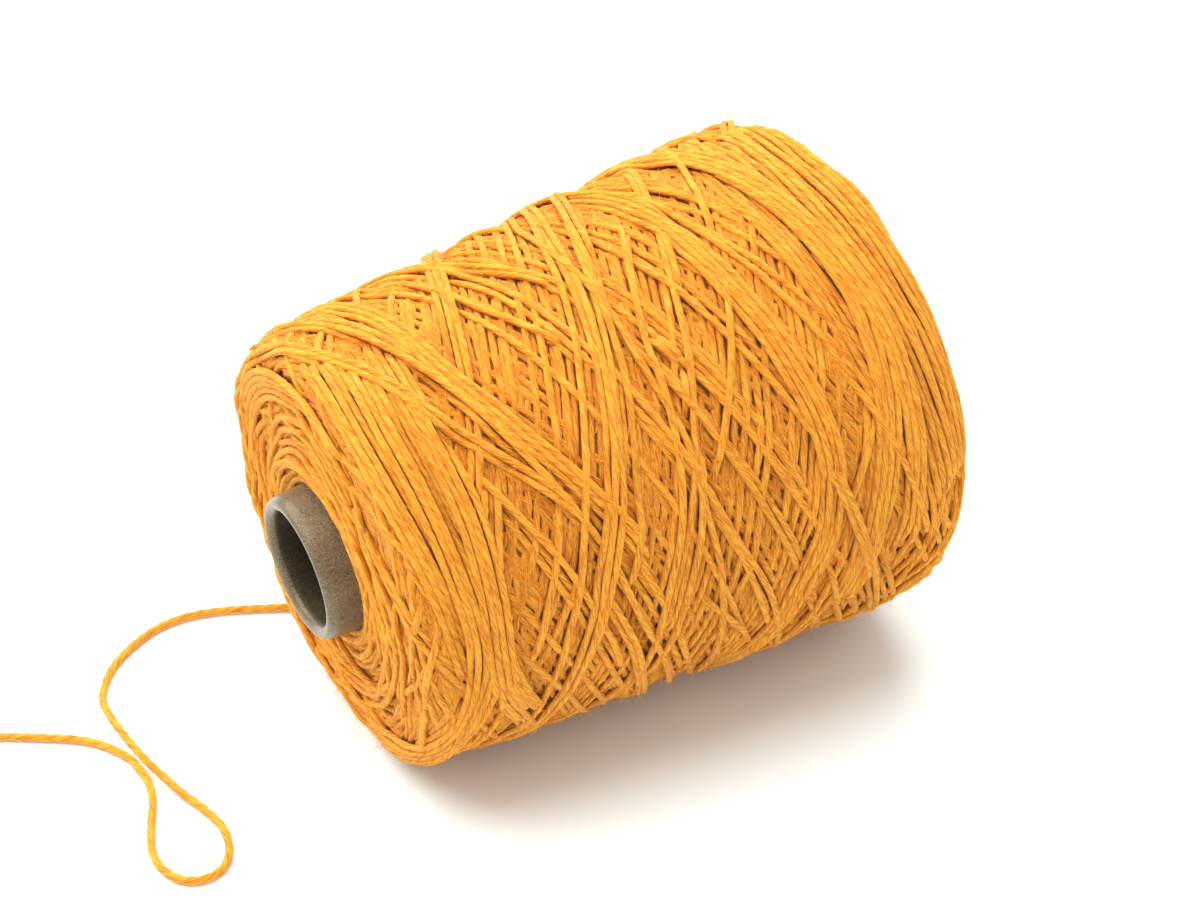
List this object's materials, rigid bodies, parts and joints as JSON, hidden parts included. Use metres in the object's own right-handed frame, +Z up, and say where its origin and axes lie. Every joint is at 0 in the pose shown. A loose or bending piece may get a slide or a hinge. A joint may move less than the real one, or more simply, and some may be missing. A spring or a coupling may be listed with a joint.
{
  "type": "cone of yarn",
  "caption": "Cross-wound cone of thick two-ply knitting yarn on a tapered paper core, lying on its side with its loose end in a teardrop loop beside it.",
  "frame": {"origin": "on the surface that the cone lies on, under the middle of the cone's bounding box, its loose end left out", "axes": "+X from the core's nose (small end) to its base (big end), +Z up; the cone lies on its side, so its axis rises towards the base by 4.5 degrees"},
  "size_m": [0.2602, 0.1332, 0.1331],
  "materials": {
    "yarn": "matt golden-yellow two-ply yarn, fuzzy, wound in crossing bands",
    "paper": "grey-brown rolled paperboard, slightly waxy, with a fine speckle and a rounded lip"
  },
  "bodies": {
    "root": {"core": "paper", "yarn_package": "yarn", "tail": "yarn"}
  },
  "joints": []
}
